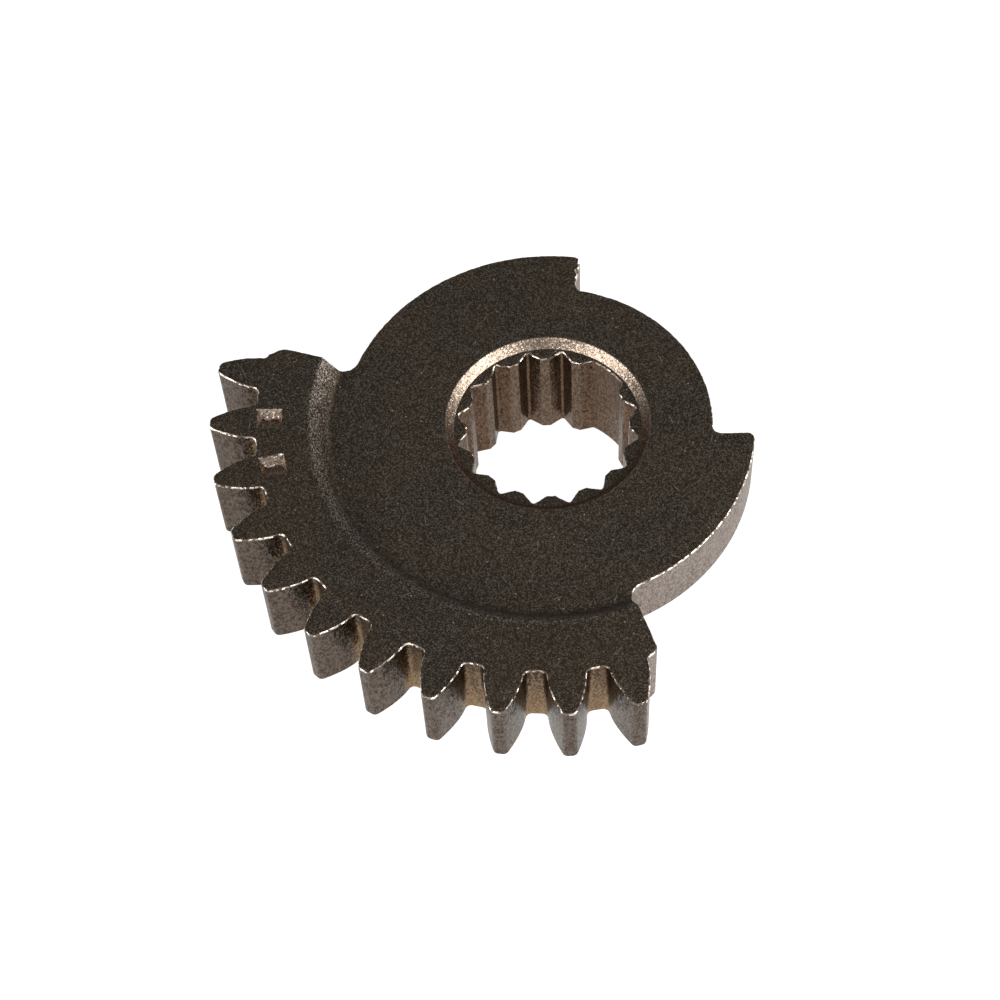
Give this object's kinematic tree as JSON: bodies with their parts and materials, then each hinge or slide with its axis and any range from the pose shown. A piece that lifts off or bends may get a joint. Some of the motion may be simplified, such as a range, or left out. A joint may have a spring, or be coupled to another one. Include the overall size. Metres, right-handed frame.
{
  "type": "sector gear",
  "caption": "Sintered steel sector gear: toothed arc on a raised rim, round hub plate with a stop notch, splined bore with a blank tooth and a short boss below.",
  "frame": {"origin": "centre of the splined bore at the end face of the boss, which is the lowest face", "axes": "+Z along the bore axis from the boss to the hub face, -Y through the middle tooth of the sector, +X to the right of it"},
  "size_m": [0.057, 0.0508, 0.0152],
  "materials": {
    "sintered_steel": "satin"
  },
  "bodies": {
    "root": {"sector_gear": "sintered_steel"}
  },
  "joints": []
}
